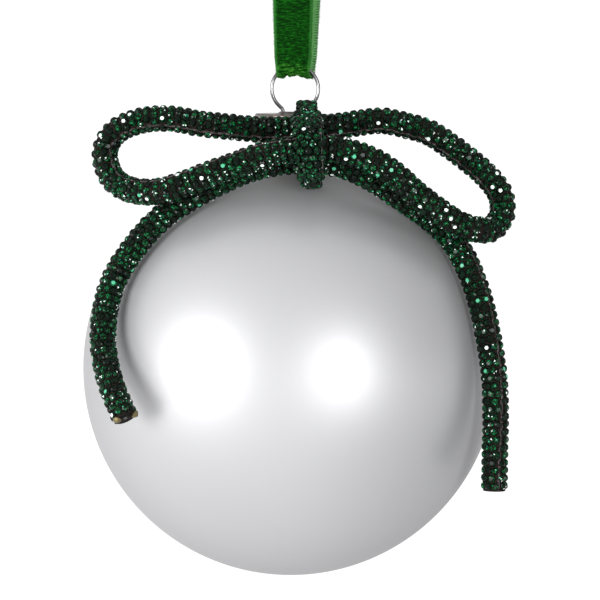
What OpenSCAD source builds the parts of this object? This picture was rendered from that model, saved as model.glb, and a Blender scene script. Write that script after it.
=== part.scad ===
// Hanging glass ball ornament: a satin silver ball with a pressed cap and a wire ring,
// a bow of rhinestone cord wired to the cap, and a velvet ribbon to hang it by.
// Millimetres, +Z up, the front faces -Y. The origin is where the ribbon loop hangs:
// the inside of the loop, at its highest point.

/* [Ball] */
// Outer diameter of the glass ball
ball_d = 100; // [96:1:116]
// Thickness of the glass
glass_t = 0.8; // [0.6:0.1:1.6]
// Outer diameter of the neck
neck_d = 16.4; // [15:0.1:16.4]
// Height of the neck's mouth above the top of the sphere
neck_h = 9.8; // [8:0.1:9.9]

/* [Cap] */
// Outer diameter of the cap's wall at the top
cap_d = 18.4; // [18.2:0.1:20]
// Thickness of the cap's sheet
cap_t = 0.6; // [0.4:0.1:0.8]
// Height of the cap's flat top above the top of the sphere
cap_h = 11.3; // [11:0.1:13]
// Number of scallops round the skirt
scallops = 16; // [8:1:24]
// Diameter of the two wire holes
hole_d = 1.4; // [1.3:0.1:1.8]
// Distance from the cap's axis to each wire hole
hole_x = 2.9; // [2.5:0.1:3.2]

/* [Wire ring] */
// Diameter of the hanger's spring wire
wire_d = 0.9; // [0.7:0.1:1]
// Radius of the ring, to the middle of the wire
ring_r = 5.6; // [5:0.1:6]
// Height of the ring's centre above the cap's flat top
ring_h = 6; // [5.8:0.1:7]

/* [Ribbon] */
// Width of the velvet ribbon
ribbon_w = 9.4; // [7:0.1:10]
// Thickness of the ribbon
ribbon_t = 0.8; // [0.6:0.1:1]
// Length of the hanging loop, from the fold in the ring to the top
ribbon_drop = 76; // [60:1:120]
// Half the gap between the two strands at the top of the loop
ribbon_gap = 4; // [3:0.1:6]
// Length of the stitched lap
lap_l = 12; // [8:1:20]

/* [Bow] */
// Diameter of the rhinestone cord over its stones
cord_d = 6.4; // [5:0.1:6.4]
// Thickness of the stones and the net that carries them
sleeve_t = 0.9; // [0.6:0.1:1.2]
// Diameter of the shaping wire inside the cord
core_wire_d = 1; // [0.6:0.1:1.4]
// Width of the centre wrap
wrap_w = 6.8; // [5:0.1:8]
// Thickness of the flattened centre wrap
wrap_t = 3; // [2:0.1:3.2]
// Diameter of the wire that ties the bow to the cap
tie_wire_d = 0.6; // [0.4:0.1:0.8]

/* [Hidden] */
$fn = 64;
ball_r = ball_d / 2;
size_k = ball_d / 100;             // the bow's routes grow with the ball
cap_top = ball_r + cap_h;
neck_top = ball_r + neck_h;
boss_r = 4.3;                      // raised middle of the cap, around the wire holes
boss_h = 0.5;
rim_bead_r = 0.5;                  // rounded edge of the cap's top
skirt_r = 11;                      // radius of the cap's flared hem
skirt_z = sqrt(pow(ball_r, 2) - pow(skirt_r, 2)) + 0.7;
ring_z = cap_top + ring_h;
ring_open_a = 40;                  // the ring's legs leave it this far from its lowest point
fold_z = ring_z + 2.8;             // underside of the ribbon's fold, at its middle
fold_arch_r = 7;                   // the fold arches over the ring's inside
hinge_z = ring_z + 8.7;            // the ribbon bends here, just above the ring
bend_gap = 1;                      // bare length left at each side of that bend
hang_z = fold_z + ribbon_drop;     // inside top of the loop
strand_shift = 0.9;                // the strands lie this far to the left and right
strand_y = wire_d / 2 + ribbon_t / 2 + 0.35;
pinch_y = ribbon_t / 2 + 0.05;
clear = 0.1;                       // air between the layers of the cord

// Route of the cord that ends in the two tails, from the left end to the right one.
// Points are measured from the ball's centre, for a ball of 100.
TAILS = size_k * [
    [-38, -43.5, -8.5], [-41, -40, -2.5], [-43, -35.5, 3], [-44, -31, 9.5],
    [-43.5, -27.5, 16.5], [-41.5, -25.5, 23], [-37.5, -24.5, 29.5], [-32, -24, 36],
    [-25.5, -23.5, 41], [-18.5, -23.5, 45], [-11, -24.5, 48.5], [-3.5, -25.5, 50.5],
    [4, -25.5, 51], [11.5, -25, 50], [18.5, -24, 47], [25.5, -22.5, 42.5],
    [32, -20.5, 38], [37.5, -19.5, 33], [41.5, -22, 26.5], [44.5, -24, 18.5],
    [46.5, -25.5, 10], [48, -26, 1], [48.5, -26, -8], [48.5, -26, -17], [48.5, -26, -26]
];
// Route of the cord that makes the two loops. Both ends meet under the centre wrap:
// out along the lower strand of the left loop, back through the knot, round the right loop.
LOOPS = size_k * [
    [3.7, -32, 54], [-2, -32, 53.5], [-8.5, -31.5, 52], [-13.5, -30.5, 50],
    [-19, -30, 48], [-25, -29, 45.5], [-31, -28, 43.5], [-35, -25, 43],
    [-39, -21, 43.5], [-42.5, -19, 45.5], [-44.5, -17.5, 49.5], [-44.5, -16.5, 53.5],
    [-42, -16.5, 57], [-38, -16.5, 59], [-33.5, -17, 60], [-28, -17.5, 60],
    [-22, -18, 59], [-16, -18, 58.5], [-9.5, -18, 58], [-2, -18, 58], [4, -18, 58.5],
    [10, -18, 59], [16, -18, 60], [21, -18, 60.5], [26, -17.5, 59.5], [31.5, -17, 58],
    [36.5, -16.5, 55], [42, -16.5, 51], [46, -17, 47.5], [49, -17.5, 43.5],
    [49.5, -18.5, 39], [47, -20.5, 35.5], [43, -24, 35.5], [39.5, -25, 36.5],
    [36, -26.5, 38.5], [32.5, -27.5, 41], [28.5, -28.5, 44], [24, -30, 48],
    [19.5, -31, 51], [14.5, -31.5, 53], [9.5, -32, 54], [4.3, -32, 54]
];
// Middle line of the centre wrap, a closed ring round the three strands.
WRAP = size_k * [
    [2.8, -19.5, 63.5], [3, -26.5, 61], [3.2, -34, 58.5], [3.4, -37, 54],
    [3.8, -34.5, 49.5], [4.2, -28, 46], [4.2, -22, 47], [3.8, -18, 51],
    [3.4, -14, 55.5], [3, -12.9, 59.5], [2.8, -15.5, 63]
];
// Route of the tie wire: round the cap's wall and through the back of the wrap.
TIE = [
    [0.6, 10, 57], [-4.5, 9, 57], [-8.5, 5, 57], [-9.9, 0, 57], [-8.6, -6, 56.5],
    [-4.5, -13, 55], [-1.2, -18, 54], [-0.2, -20.2, 53.5], [4, -20.6, 53.5],
    [7.8, -20.2, 53.5], [8.8, -18, 54], [9.9, -11, 55.5], [10, -4, 56.5],
    [9.4, 2.5, 57], [6.5, 7.5, 57], [1.6, 10, 57]
];
TWIST_TURNS = 3;
TWIST_L = 7;                       // length of the two ends twisted together

// ---- paths and sweeps ----

function unit(v) = v / norm(v);

// Catmull-Rom point at t between b and c.
function spline_at(a, b, c, d, t) = 0.5 * (2 * b + (c - a) * t
    + (2 * a - 5 * b + 4 * c - d) * t * t + (3 * b - a - 3 * c + d) * t * t * t);

// A smooth open path through points, with steps pieces between each two.
function smooth_path(points, steps) = let (last = len(points) - 1) [
    for (i = [0 : last - 1], s = [0 : steps - 1])
        spline_at(points[max(i - 1, 0)], points[i], points[i + 1],
            points[min(i + 2, last)], s / steps),
    points[last]
];

// The same for a closed path.
function smooth_ring(points, steps) = let (n = len(points)) [
    for (i = [0 : n - 1], s = [0 : steps - 1])
        spline_at(points[(i + n - 1) % n], points[i], points[(i + 1) % n],
            points[(i + 2) % n], s / steps)
];

// Direction of an open path at each of its points.
function headings(path) = let (last = len(path) - 1) [
    for (i = [0 : last]) unit(path[min(i + 1, last)] - path[max(i - 1, 0)])
];

// v with its share along axis taken out, at unit length.
function squared(v, axis) = unit(v - (v * axis) * axis);

// Side directions carried along a path without twist, starting from first.
function sides_along(heads, first) = [
    for (i = 0, side = squared(first, heads[0]); i < len(heads);
        i = i + 1, side = i < len(heads) ? squared(side, heads[i]) : side) side
];

function circle_outline(r, n) = [for (i = [0 : n - 1]) r * [cos(360 * i / n), sin(360 * i / n)]];

function ring_points(centre, side, up, outline) = [for (q = outline) centre + q[0] * side + q[1] * up];

// Quads between ring a and ring b, whose points start at those numbers.
function band(a, b, n) = [for (i = [0 : n - 1]) [a + i, a + (i + 1) % n, b + (i + 1) % n, b + i]];

function flipped(faces) = [for (f = faces) [for (i = [len(f) - 1 : -1 : 0]) f[i]]];

// A solid rod with a flat cut at each end, along path. A strap keeps facing the same way.
module swept_rod(path, outline, first_side, strap = false) {
    n = len(outline);
    rings = len(path);
    heads = headings(path);
    sides = strap ? [for (head = heads) squared(first_side, head)]
        : sides_along(heads, first_side);
    points = [for (i = [0 : rings - 1])
        each ring_points(path[i], sides[i], cross(heads[i], sides[i]), outline)];
    skin = [for (i = [0 : rings - 2]) each band(i * n, (i + 1) * n, n)];
    ends = [[for (i = [0 : n - 1]) i], [for (i = [n - 1 : -1 : 0]) (rings - 1) * n + i]];
    polyhedron(points, flipped(concat(skin, flipped(ends))), convexity = 10);
}

// A hollow tube with ring-shaped ends.
module swept_tube(path, r_out, r_in, n, first_side = [0, 1, 0]) {
    rings = len(path);
    heads = headings(path);
    sides = sides_along(heads, first_side);
    outer = circle_outline(r_out, n);
    inner = circle_outline(r_in, n);
    shell = n * rings;
    points = concat(
        [for (i = [0 : rings - 1])
            each ring_points(path[i], sides[i], cross(heads[i], sides[i]), outer)],
        [for (i = [0 : rings - 1])
            each ring_points(path[i], sides[i], cross(heads[i], sides[i]), inner)]);
    skin = [for (i = [0 : rings - 2]) each band(i * n, (i + 1) * n, n)];
    bore = [for (i = [0 : rings - 2]) each band(shell + i * n, shell + (i + 1) * n, n)];
    start = band(shell, 0, n);
    end = band((rings - 1) * n, shell + (rings - 1) * n, n);
    polyhedron(points, flipped(concat(skin, flipped(bore), start, end)), convexity = 10);
}

// A closed ring of one outline, whose flat side faces outline's first axis.
module swept_ring(path, outline, side) {
    n = len(outline);
    rings = len(path);
    points = [for (i = [0 : rings - 1]) let (
            head = unit(path[(i + 1) % rings] - path[(i + rings - 1) % rings]),
            across = squared(side, head))
        each ring_points(path[i], across, cross(head, across), outline)];
    skin = [for (i = [0 : rings - 1]) each band(i * n, ((i + 1) % rings) * n, n)];
    polyhedron(points, flipped(skin), convexity = 10);
}

// A straight round rod from a to b. The balls at its ends are a little fuller than the rod.
module rod(a, b, d) {
    v = b - a;
    translate(a) rotate([0, acos(v[2] / norm(v)), atan2(v[1], v[0])])
        cylinder(h = norm(v), d = d, $fn = 24);
    for (p = [a, b]) translate(p) sphere(d = d * 1.04, $fn = 24);
}

// Everything is drawn round the ball's centre and lowered so that the loop hangs at the origin.
module hung() {
    translate([0, 0, -hang_z]) children();
}

// ---- ribbon ----

function strip_outline() = [
    [-ribbon_w / 2, -ribbon_t / 2], [ribbon_w / 2, -ribbon_t / 2],
    [ribbon_w / 2, ribbon_t / 2], [-ribbon_w / 2, ribbon_t / 2]
];

// Distance of a strand from the middle plane at height z.
function strand_at(z) = pinch_y + (ribbon_gap + ribbon_t / 2 - pinch_y)
    * pow((z - hinge_z) / (hang_z - ribbon_gap - hinge_z), 0.8);

// The front strand goes up, over the top and down to the end of the lap at the rear.
function front_strip() = let (
        bottom = hinge_z + bend_gap,
        turn_z = hang_z - ribbon_gap,
        turn_r = ribbon_gap + ribbon_t / 2,
        lap_end = turn_z - 6 - lap_l) [
    for (z = [bottom : (turn_z - bottom) / 10 : turn_z - 1]) [-strand_shift, -strand_at(z), z],
    for (a = [0 : 18 : 180])
        [-strand_shift * cos(a), -turn_r * cos(a), turn_z + turn_r * sin(a)],
    for (z = [turn_z - 3 : -(turn_z - 3 - lap_end) / 4 : lap_end - 0.01])
        [strand_shift, strand_at(z) + ribbon_t / 2 + 0.05, z]
];

// The rear strand comes up from the fold and ends inside the lap.
function rear_strip() = let (
        bottom = hinge_z + bend_gap,
        top = hang_z - ribbon_gap - 6) [
    for (z = [bottom : (top - bottom) / 10 : top + 0.01]) let (
            lap_z = hang_z - ribbon_gap - 6 - lap_l - 8,
            tuck = max(0, min(1, (z - lap_z) / 8)))
        [strand_shift, strand_at(z) - tuck * (ribbon_t / 2 + 0.1), z]
];

module ribbon_loop() {
    color("forestgreen") hung() {
        swept_rod(front_strip(), strip_outline(), [1, 0, 0], strap = true);
        swept_rod(rear_strip(), strip_outline(), [1, 0, 0], strap = true);
    }
}

// The fold's section: a U that closes above the ring's wire.
module fold_section() {
    reach = hinge_z - bend_gap - fold_z + fold_arch_r;
    inner = strand_y - ribbon_t / 2;
    outer = strand_y + ribbon_t / 2;
    bend = fold_arch_r + outer;
    shoulder = ring_z + ring_r + wire_d - fold_z + fold_arch_r;
    difference() {
        union() {
            translate([bend, 0]) circle(r = outer, $fn = 32);
            polygon([[bend, -outer], [shoulder, -outer], [reach + 3, -pinch_y - ribbon_t / 2],
                [reach + 3, pinch_y + ribbon_t / 2], [shoulder, outer], [bend, outer]]);
        }
        translate([bend, 0]) circle(r = inner, $fn = 32);
        polygon([[bend, -inner], [shoulder, -inner], [reach, -0.05], [reach + 4, -0.05],
            [reach + 4, 0.05], [reach, 0.05], [shoulder, inner], [bend, inner]]);
    }
}

module ribbon_fold() {
    sweep_a = 34;
    top = hinge_z - bend_gap;
    color("forestgreen") hung() intersection() {
        translate([0, 0, fold_z - fold_arch_r]) rotate([90, 0, 0])
            rotate([0, 0, 90 - sweep_a]) rotate_extrude(angle = 2 * sweep_a, $fn = 96) fold_section();
        translate([-ribbon_w / 2, -10, fold_z - 5]) cube([ribbon_w, 20, top - fold_z + 5]);
    }
}

// Two rows of short thread stitches through both layers of the lap.
module ribbon_stitches() {
    rows = 2;
    per_row = 4;
    thread_d = 0.4;
    stitch_l = 1.2;
    color("darkgreen") hung() for (row = [0 : rows - 1], i = [0 : per_row - 1]) {
        x = strand_shift + (i - (per_row - 1) / 2) * ribbon_w / 5;
        z = hang_z - ribbon_gap - 9 - row * (lap_l - 6);
        y = strand_at(z) + ribbon_t + 0.2 + thread_d / 2;
        translate([x - stitch_l / 2, y, z]) rotate([0, 90, 0])
            cylinder(h = stitch_l, d = thread_d, $fn = 8);
    }
}

// ---- hanger and cap ----

// One ring of spring wire whose two legs go down through the cap and spread in the neck.
module hanger_wire() {
    leave = [ring_r * sin(ring_open_a), 0, ring_z - ring_r * cos(ring_open_a)];
    holes = cap_top + boss_h;
    color("silver") hung() {
        translate([0, 0, ring_z]) rotate([90, 0, 0]) rotate([0, 0, ring_open_a - 90])
            rotate_extrude(angle = 360 - 2 * ring_open_a, $fn = 96)
                translate([ring_r, 0]) circle(d = wire_d, $fn = 24);
        for (s = [-1, 1]) {
            top = [s * hole_x, 0, holes + 0.4];
            under = [s * hole_x, 0, holes - 1.6];
            knee = [s * (neck_d / 2 - glass_t - 3), 0, ball_r - 2];
            foot = [s * neck_d / 2, 0, ball_r - 6.5];
            rod([s * leave[0], 0, leave[2]], top, wire_d);
            rod(top, under, wire_d);
            rod(under, knee, wire_d);
            rod(knee, foot, wire_d);
        }
    }
}

module cap_section() {
    wall_in = cap_d / 2 - cap_t;
    polygon([
        [0, cap_top - cap_t + boss_h], [boss_r - cap_t, cap_top - cap_t + boss_h],
        [boss_r, cap_top - cap_t], [wall_in, cap_top - cap_t],
        [wall_in + 0.2, skirt_z + 3], [skirt_r - cap_t, skirt_z],
        [skirt_r, skirt_z], [wall_in + 0.2 + cap_t, skirt_z + 3.2],
        [cap_d / 2, cap_top - 2 * rim_bead_r], [cap_d / 2, cap_top],
        [boss_r + 0.3, cap_top], [boss_r - 0.2, cap_top + boss_h], [0, cap_top + boss_h]
    ]);
    translate([cap_d / 2 - 0.1, cap_top - rim_bead_r]) circle(r = rim_bead_r, $fn = 24);
}

module cap() {
    scallop_d = 2 * PI * skirt_r / scallops * 0.8;
    color("silver") hung() difference() {
        rotate_extrude($fn = 96) cap_section();
        for (s = [-1, 1]) translate([s * hole_x, 0, cap_top - 2])
            cylinder(h = 4, d = hole_d, $fn = 24);
        for (i = [0 : scallops - 1]) rotate([0, 0, 360 * (i + 0.5) / scallops])
            translate([skirt_r - 3, 0, skirt_z - 0.6]) rotate([0, 90, 0])
                cylinder(h = 6, d = scallop_d, $fn = 24);
    }
}

// ---- ball ----

module glass_ball() {
    neck_r = neck_d / 2;
    inner_r = ball_r - glass_t;
    color("lightgray") hung() rotate_extrude($fn = 128) {
        difference() {
            union() {
                intersection() {
                    circle(r = ball_r, $fn = 128);
                    translate([0, -ball_r - 1]) square([ball_r + 1, 2 * ball_r + 2]);
                }
                translate([0, ball_r - 4]) square([neck_r, neck_top - ball_r + 4]);
            }
            circle(r = inner_r, $fn = 128);
            translate([-1, ball_r - 6]) square([neck_r - glass_t + 1, neck_h + 8]);
        }
    }
}

// ---- bow ----

module bow_loops() {
    color("darkgreen") hung()
        swept_tube(smooth_path(LOOPS, 2), cord_d / 2, cord_d / 2 - sleeve_t, 10);
}

module bow_tails() {
    color("darkgreen") hung()
        swept_tube(smooth_path(TAILS, 2), cord_d / 2, cord_d / 2 - sleeve_t, 10, [0, 0, 1]);
}

module loop_filler() {
    color("black") hung() swept_tube(smooth_path(LOOPS, 2),
        cord_d / 2 - sleeve_t - clear, core_wire_d / 2 + clear, 8);
}

module tail_filler() {
    color("black") hung() swept_tube(smooth_path(TAILS, 2),
        cord_d / 2 - sleeve_t - clear, core_wire_d / 2 + clear, 8, [0, 0, 1]);
}

module loop_core_wire() {
    color("dimgray") hung()
        swept_rod(smooth_path(LOOPS, 2), circle_outline(core_wire_d / 2, 6), [0, 1, 0]);
}

module tail_core_wire() {
    color("dimgray") hung()
        swept_rod(smooth_path(TAILS, 2), circle_outline(core_wire_d / 2, 6), [0, 0, 1]);
}

// A flattened length of the same cord, closed round the crossing strands.
module bow_wrap() {
    outline = [for (q = circle_outline(1, 12)) [q[0] * wrap_w / 2, q[1] * wrap_t / 2]];
    color("darkgreen") hung() swept_ring(smooth_ring(WRAP, 3), outline, [1, 0, 0]);
}

module tie_wire() {
    color("silver") hung()
        swept_rod(smooth_path(TIE, 3), circle_outline(tie_wire_d / 2, 6), [0, 0, 1]);
}

// The tie wire's two ends, twisted together behind the cap.
module wire_twist() {
    steps = 30;
    start_y = 10.9;
    coil_r = tie_wire_d / 2 + 0.12;
    color("silver") hung() for (start = [0, 180]) {
        path = [for (i = [0 : steps]) let (a = start + 360 * TWIST_TURNS * i / steps)
            [1.1 + coil_r * cos(a), start_y + TWIST_L * 0.9 * i / steps,
                57 + coil_r * sin(a) + TWIST_L * 0.4 * i / steps]];
        swept_rod(path, circle_outline(tie_wire_d / 2, 6), [0, 0, 1]);
    }
}

ribbon_loop();
ribbon_fold();
ribbon_stitches();
hanger_wire();
cap();
glass_ball();
tie_wire();
wire_twist();
bow_loops();
bow_tails();
bow_wrap();
loop_filler();
tail_filler();
loop_core_wire();
tail_core_wire();
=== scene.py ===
"""Glass ball ornament: a satin silver ball, a bow of rhinestone cord and a velvet ribbon.

Lengths in this file are millimetres from the ball's centre, unless a name says otherwise.
place() turns them into the frame's metres.
"""
import math
import random

import bpy
from mathutils import Matrix, Vector


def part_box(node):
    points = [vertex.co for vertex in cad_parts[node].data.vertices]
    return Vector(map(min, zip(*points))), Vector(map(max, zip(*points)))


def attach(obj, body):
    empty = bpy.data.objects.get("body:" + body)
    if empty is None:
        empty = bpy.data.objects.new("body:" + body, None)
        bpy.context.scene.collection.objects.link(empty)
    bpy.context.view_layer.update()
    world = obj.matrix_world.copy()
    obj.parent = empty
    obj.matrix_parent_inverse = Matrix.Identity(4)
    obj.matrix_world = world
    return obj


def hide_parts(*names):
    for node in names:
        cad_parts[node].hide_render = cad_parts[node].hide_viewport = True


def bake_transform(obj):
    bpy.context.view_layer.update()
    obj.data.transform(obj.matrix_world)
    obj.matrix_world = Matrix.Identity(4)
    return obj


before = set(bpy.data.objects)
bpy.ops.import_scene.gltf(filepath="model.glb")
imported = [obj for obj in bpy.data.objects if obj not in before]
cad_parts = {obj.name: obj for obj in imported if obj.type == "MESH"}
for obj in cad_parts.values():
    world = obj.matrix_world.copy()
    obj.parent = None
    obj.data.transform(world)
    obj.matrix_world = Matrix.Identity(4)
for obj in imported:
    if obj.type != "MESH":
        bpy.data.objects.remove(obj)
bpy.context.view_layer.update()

MM = 0.001
ball_low, ball_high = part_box("glass_ball")
BALL_R = (ball_high.x - ball_low.x) / 2 / MM
HANG_Z = -(ball_low.z / MM + BALL_R)          # height of the origin above the ball's centre
SIZE = BALL_R / 50                            # the bow's routes grow with the ball

# ---- sizes, as in the CAD model ----
GLASS_T = 0.8
NECK_R = 8.2
NECK_TOP = BALL_R + 9.8
CAP_TOP = BALL_R + 11.3
CAP_R = 9.2
CAP_T = 0.6
BOSS_R = 4.3
BOSS_H = 0.5
SKIRT_R = 11
SKIRT_Z = math.sqrt(BALL_R ** 2 - SKIRT_R ** 2) + 0.7
SCALLOPS = 16
HOLE_X = 2.9
HOLE_D = 1.4
WIRE_D = 0.9
RING_R = 5.6
RING_Z = CAP_TOP + 6
RING_OPEN = math.radians(40)
RIBBON_W = 9.4
RIBBON_T = 0.8
RIBBON_GAP = 4
LAP_L = 12
FOLD_Z = RING_Z + 2.8
HINGE_Z = RING_Z + 8.7
PINCH_Y = RIBBON_T / 2 + 0.05
STRAND_Y = WIRE_D / 2 + RIBBON_T / 2 + 0.35
CORD_R = 3.2
FILLER_R = 2.2
CORE_WIRE_R = 0.5
WRAP_W = 6.8
WRAP_T = 3
TIE_WIRE_R = 0.3

# ---- sizes of the looks alone ----
NET_R = 2.65           # the net that the stones stand on
SEAM_R = 0.09          # each thread of the net's seam

# The cord that ends in the two tails, from the left end to the right one.
TAILS = [
    (-38, -43.5, -8.5), (-41, -40, -2.5), (-43, -35.5, 3), (-44, -31, 9.5),
    (-43.5, -27.5, 16.5), (-41.5, -25.5, 23), (-37.5, -24.5, 29.5), (-32, -24, 36),
    (-25.5, -23.5, 41), (-18.5, -23.5, 45), (-11, -24.5, 48.5), (-3.5, -25.5, 50.5),
    (4, -25.5, 51), (11.5, -25, 50), (18.5, -24, 47), (25.5, -22.5, 42.5),
    (32, -20.5, 38), (37.5, -19.5, 33), (41.5, -22, 26.5), (44.5, -24, 18.5),
    (46.5, -25.5, 10), (48, -26, 1), (48.5, -26, -8), (48.5, -26, -17), (48.5, -26, -26),
]
# The cord that makes the two loops, whose ends meet under the centre wrap.
LOOPS = [
    (3.7, -32, 54), (-2, -32, 53.5), (-8.5, -31.5, 52), (-13.5, -30.5, 50),
    (-19, -30, 48), (-25, -29, 45.5), (-31, -28, 43.5), (-35, -25, 43),
    (-39, -21, 43.5), (-42.5, -19, 45.5), (-44.5, -17.5, 49.5), (-44.5, -16.5, 53.5),
    (-42, -16.5, 57), (-38, -16.5, 59), (-33.5, -17, 60), (-28, -17.5, 60),
    (-22, -18, 59), (-16, -18, 58.5), (-9.5, -18, 58), (-2, -18, 58), (4, -18, 58.5),
    (10, -18, 59), (16, -18, 60), (21, -18, 60.5), (26, -17.5, 59.5), (31.5, -17, 58),
    (36.5, -16.5, 55), (42, -16.5, 51), (46, -17, 47.5), (49, -17.5, 43.5),
    (49.5, -18.5, 39), (47, -20.5, 35.5), (43, -24, 35.5), (39.5, -25, 36.5),
    (36, -26.5, 38.5), (32.5, -27.5, 41), (28.5, -28.5, 44), (24, -30, 48),
    (19.5, -31, 51), (14.5, -31.5, 53), (9.5, -32, 54), (4.3, -32, 54),
]
# Middle line of the centre wrap, a closed ring round the three strands.
WRAP = [
    (2.8, -19.5, 63.5), (3, -26.5, 61), (3.2, -34, 58.5), (3.4, -37, 54),
    (3.8, -34.5, 49.5), (4.2, -28, 46), (4.2, -22, 47), (3.8, -18, 51),
    (3.4, -14, 55.5), (3, -12.9, 59.5), (2.8, -15.5, 63),
]
# The tie wire: round the cap's wall and through the back of the wrap.
TIE = [
    (0.6, 10, 57), (-4.5, 9, 57), (-8.5, 5, 57), (-9.9, 0, 57), (-8.6, -6, 56.5),
    (-4.5, -13, 55), (-1.2, -18, 54), (-0.2, -20.2, 53.5), (4, -20.6, 53.5),
    (7.8, -20.2, 53.5), (8.8, -18, 54), (9.9, -11, 55.5), (10, -4, 56.5),
    (9.4, 2.5, 57), (6.5, 7.5, 57), (1.6, 10, 57),
]


# ---- camera ----

def make_camera():
    """One metre in front of the ball, a little above it, and rolled so that the ball leans."""
    distance = 1.0
    elevation = math.radians(5)
    roll = math.radians(0.945)
    aim_right, aim_up = 0.0023, 0.01635  # the picture's middle, seen from the ball's centre
    centre = Vector((0, 0, -HANG_Z * MM))
    back = Vector((0, -math.cos(elevation), math.sin(elevation)))
    level_up = Vector((0, math.sin(elevation), math.cos(elevation)))
    right = Vector((1, 0, 0)) * math.cos(roll) + level_up * math.sin(roll)
    up = level_up * math.cos(roll) - Vector((1, 0, 0)) * math.sin(roll)
    place_at = centre + back * distance
    aim = centre + right * aim_right + up * aim_up
    camera = bpy.data.objects.new("camera", bpy.data.cameras.new("camera"))
    bpy.context.scene.collection.objects.link(camera)
    camera.data.sensor_width = 36
    camera.data.lens = 248.4
    look = (aim - place_at).normalized()
    side = look.cross(up).normalized()
    true_up = side.cross(look)
    turn = Matrix((side, true_up, -look)).transposed()
    camera.matrix_world = Matrix.Translation(place_at) @ turn.to_4x4()
    camera.data.clip_start = 0.05
    camera.data.clip_end = 100
    bpy.context.scene.camera = camera


# ---- paths and sweeps ----

def scaled(route):
    """A route's points, grown with the ball."""
    return [Vector(p) * SIZE for p in route]


def place(point):
    """A point in millimetres from the ball's centre, in the frame's metres."""
    return (point[0] * MM, point[1] * MM, (point[2] - HANG_Z) * MM)


def spline(points, step, closed=False):
    """Points about step apart along a Catmull-Rom curve through points."""
    n = len(points)
    fine = 24
    dense = []
    for i in range(n if closed else n - 1):
        if closed:
            a, b, c, d = (points[(i + k) % n] for k in (-1, 0, 1, 2))
        else:
            a, b = points[max(i - 1, 0)], points[i]
            c, d = points[i + 1], points[min(i + 2, n - 1)]
        for k in range(fine):
            t = k / fine
            dense.append(0.5 * (2 * b + (c - a) * t + (2 * a - 5 * b + 4 * c - d) * t ** 2
                                + (3 * b - a - 3 * c + d) * t ** 3))
    dense.append(points[0].copy() if closed else points[-1].copy())
    total = sum((q - p).length for p, q in zip(dense, dense[1:]))
    count = max(2, round(total / step))
    spaced, gone, i = [], 0.0, 0
    for k in range(count if closed else count + 1):
        want = total * k / count
        while i < len(dense) - 2 and gone + (dense[i + 1] - dense[i]).length < want:
            gone += (dense[i + 1] - dense[i]).length
            i += 1
        part = (want - gone) / max((dense[i + 1] - dense[i]).length, 1e-9)
        spaced.append(dense[i].lerp(dense[i + 1], min(max(part, 0), 1)))
    return spaced


def evenly(start, end, n):
    """n + 1 evenly spaced values from start to end."""
    return [start + (end - start) * i / n for i in range(n + 1)]


def smooth_step(low, high, value):
    """0 up to low, 1 from high on, and an even curve between them."""
    t = min(1, max(0, (value - low) / (high - low)))
    return t * t * (3 - 2 * t)


def path_length(path):
    return sum((q - p).length for p, q in zip(path, path[1:]))


def headings(path, closed=False):
    """Unit direction of travel at each point of a path."""
    n = len(path)
    if closed:
        return [(path[(i + 1) % n] - path[i - 1]).normalized() for i in range(n)]
    return [(path[min(i + 1, n - 1)] - path[max(i - 1, 0)]).normalized() for i in range(n)]


def squared(v, axis):
    """The part of v that is square to axis, as a unit vector."""
    return (v - axis * v.dot(axis)).normalized()


def sides_along(heads, first):
    """Side directions carried along a path without twist."""
    sides = [squared(Vector(first), heads[0])]
    for head in heads[1:]:
        sides.append(squared(sides[-1], head))
    return sides


def circle_outline(r, n):
    return [(r * math.cos(2 * math.pi * i / n), r * math.sin(2 * math.pi * i / n)) for i in range(n)]


def sweep(path, outline, sides, closed=False):
    """(vertices, faces) of outline carried along path. An open one has flat ends."""
    heads = headings(path, closed)
    n, rings = len(outline), len(path)
    verts = []
    for point, head, side in zip(path, heads, sides):
        up = head.cross(side)
        verts += [point + side * a + up * b for a, b in outline]
    faces = []
    for i in range(rings if closed else rings - 1):
        a, b = i * n, ((i + 1) % rings) * n
        faces += [(a + k, a + (k + 1) % n, b + (k + 1) % n, b + k) for k in range(n)]
    if not closed:
        faces.append(tuple(range(n - 1, -1, -1)))
        faces.append(tuple((rings - 1) * n + k for k in range(n)))
    return verts, faces


def lathe(profile, segments, shape=lambda r, z, turn: (r, z)):
    """(vertices, faces) of a closed profile of (radius, height) turned about the ball's axis."""
    verts, rows = [], []
    for r, z in profile:
        if r == 0:
            rows.append([len(verts)] * segments)
            verts.append(Vector((0, 0, z)))
            continue
        rows.append(list(range(len(verts), len(verts) + segments)))
        for k in range(segments):
            turn = 2 * math.pi * k / segments
            rr, zz = shape(r, z, turn)
            verts.append(Vector((rr * math.cos(turn), rr * math.sin(turn), zz)))
    faces = []
    for i in range(len(rows)):
        a, b = rows[i], rows[(i + 1) % len(rows)]
        for k in range(segments):
            m = (k + 1) % segments
            face = [a[k], a[m], b[m], b[k]]
            face = [v for j, v in enumerate(face) if v not in face[:j]]
            if len(face) > 2:
                faces.append(tuple(face))
    return verts, faces


# ---- pieces ----

def make_piece(name, verts, faces, materials, body, smooth=True, face_material=None):
    """One visible piece, from points in millimetres. It rides on body, if one is given."""
    mesh = bpy.data.meshes.new(name)
    mesh.from_pydata([place(v) for v in verts], [], faces)
    for m in materials:
        mesh.materials.append(m)
    if face_material:
        mesh.polygons.foreach_set("material_index", face_material)
    mesh.polygons.foreach_set("use_smooth", [smooth] * len(mesh.polygons))
    mesh.update()
    piece = bpy.data.objects.new(name, mesh)
    bpy.context.scene.collection.objects.link(piece)
    if body:
        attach(piece, body)
    return piece


def tube_piece(name, path, r, n, material, body, first=(0, 1, 0)):
    """A round bar with n sides along path."""
    verts, faces = sweep(path, circle_outline(r, n), sides_along(headings(path), first))
    return make_piece(name, verts, faces, [material], body)


# ---- materials ----

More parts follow.
